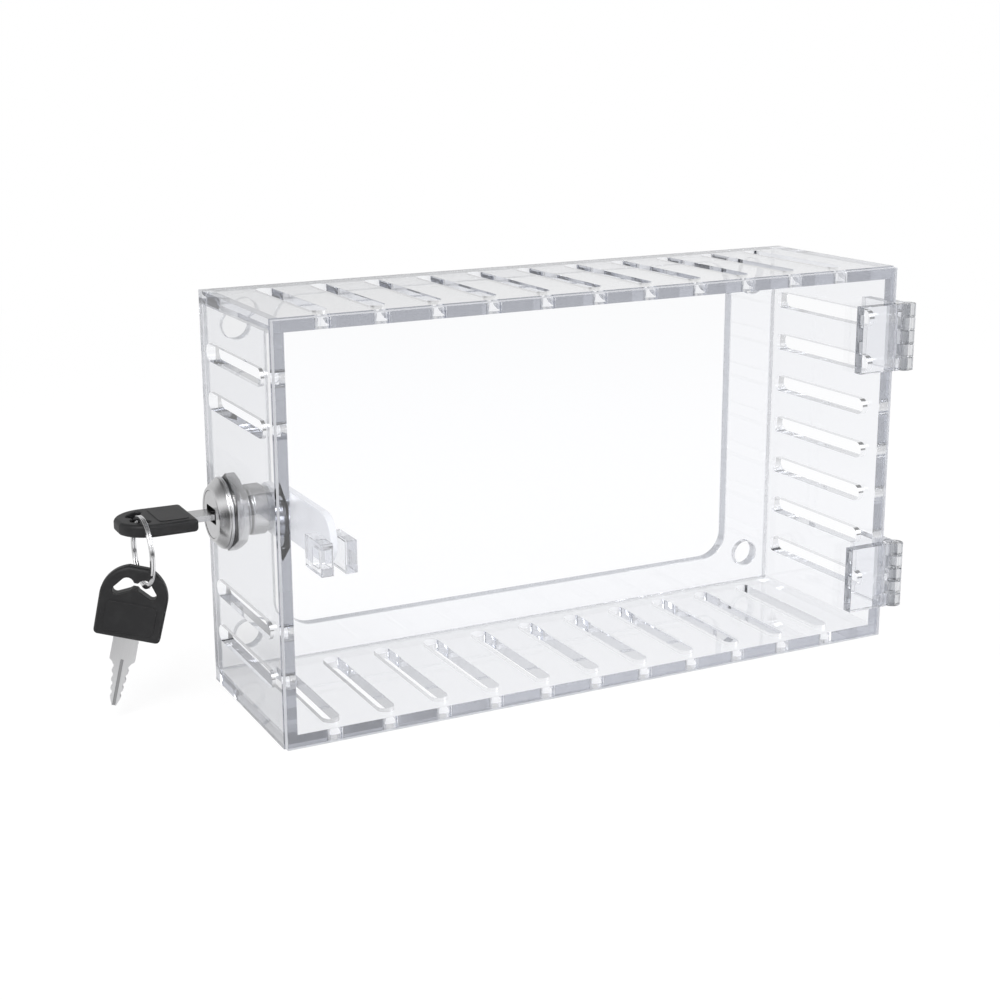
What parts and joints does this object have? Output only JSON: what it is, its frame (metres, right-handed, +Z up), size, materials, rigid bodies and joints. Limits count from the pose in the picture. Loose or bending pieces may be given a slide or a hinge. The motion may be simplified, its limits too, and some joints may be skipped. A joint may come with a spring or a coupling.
{
  "type": "thermostat lock box",
  "caption": "Clear box that screws to a wall over a thermostat, with vent slots, a hinged clear door, a cam lock, and two keys on a split ring.",
  "frame": {"origin": "on the wall plane, at the centre of the four wall screw holes", "axes": "+X to the right as seen from the room, +Y into the wall, +Z up; the door faces -Y"},
  "size_m": [0.2941, 0.0785, 0.141],
  "materials": {
    "clear_sheet": "clear acrylic sheet with polished faces and grey cut edges",
    "clear_hinge": "clear moulded plastic",
    "lock_chrome": "bright plated metal",
    "wafer_brass": "plain stamped brass",
    "small_steel": "zinc plated steel",
    "cam_plastic": "smooth pale grey plastic, nearly clear",
    "key_metal": "nickel plated, fine straight grain",
    "key_plastic": "black moulded plastic, fine matt texture",
    "ring_steel": "bright nickel plated spring steel"
  },
  "bodies": {
    "case": {"back_panel": "clear_sheet", "top_panel": "clear_sheet", "bottom_panel": "clear_sheet", "left_panel": "clear_sheet", "right_panel": "clear_sheet", "upper_hinge_side_leaf": "clear_hinge", "lower_hinge_side_leaf": "clear_hinge", "upper_hinge_pin": "clear_hinge", "lower_hinge_pin": "clear_hinge", "lock_housing": "lock_chrome", "lock_nut": "lock_chrome"},
    "door": {"door_panel": "clear_sheet", "upper_hinge_door_leaf": "clear_hinge", "lower_hinge_door_leaf": "clear_hinge", "catch_outer_cheek": "clear_sheet", "catch_inner_cheek": "clear_sheet"},
    "plug": {"lock_plug": "lock_chrome", "lock_wafers": "wafer_brass", "wafer_springs": "small_steel", "stop_washer": "small_steel", "cam": "cam_plastic", "cam_washer": "small_steel", "cam_screw": "small_steel"},
    "key": {"key_blade": "key_metal", "key_head": "key_plastic"},
    "key_ring": {"split_ring": "ring_steel"},
    "spare_key": {"spare_key_blade": "key_metal", "spare_key_head": "key_plastic"}
  },
  "joints": [
    {"name": "door_hinge", "type": "hinge", "parent": "case", "child": "door", "pos_m": [0.1226, -0.0753, -0.002], "axis": [0, 0, 1], "range_deg": [0, 180]},
    {"name": "lock_turn", "type": "hinge", "parent": "case", "child": "plug", "pos_m": [-0.12, -0.017, -0.0061], "axis": [-1, 0, 0], "range_deg": [0, 90]},
    {"name": "key_slide", "type": "slide", "parent": "plug", "child": "key", "axis": [-1, 0, 0], "range_m": [0, 0.018]},
    {"name": "ring_swing", "type": "hinge", "parent": "key", "child": "key_ring", "pos_m": [-0.15085, -0.0249, -0.0061], "axis": [1, 0, 0], "range_deg": [-12, 12]},
    {"name": "spare_key_swing", "type": "hinge", "parent": "key_ring", "child": "spare_key", "pos_m": [-0.15085, -0.0249, -0.02505], "axis": [0.3746, 0.9272, 0], "range_deg": [-12, 14]}
  ]
}
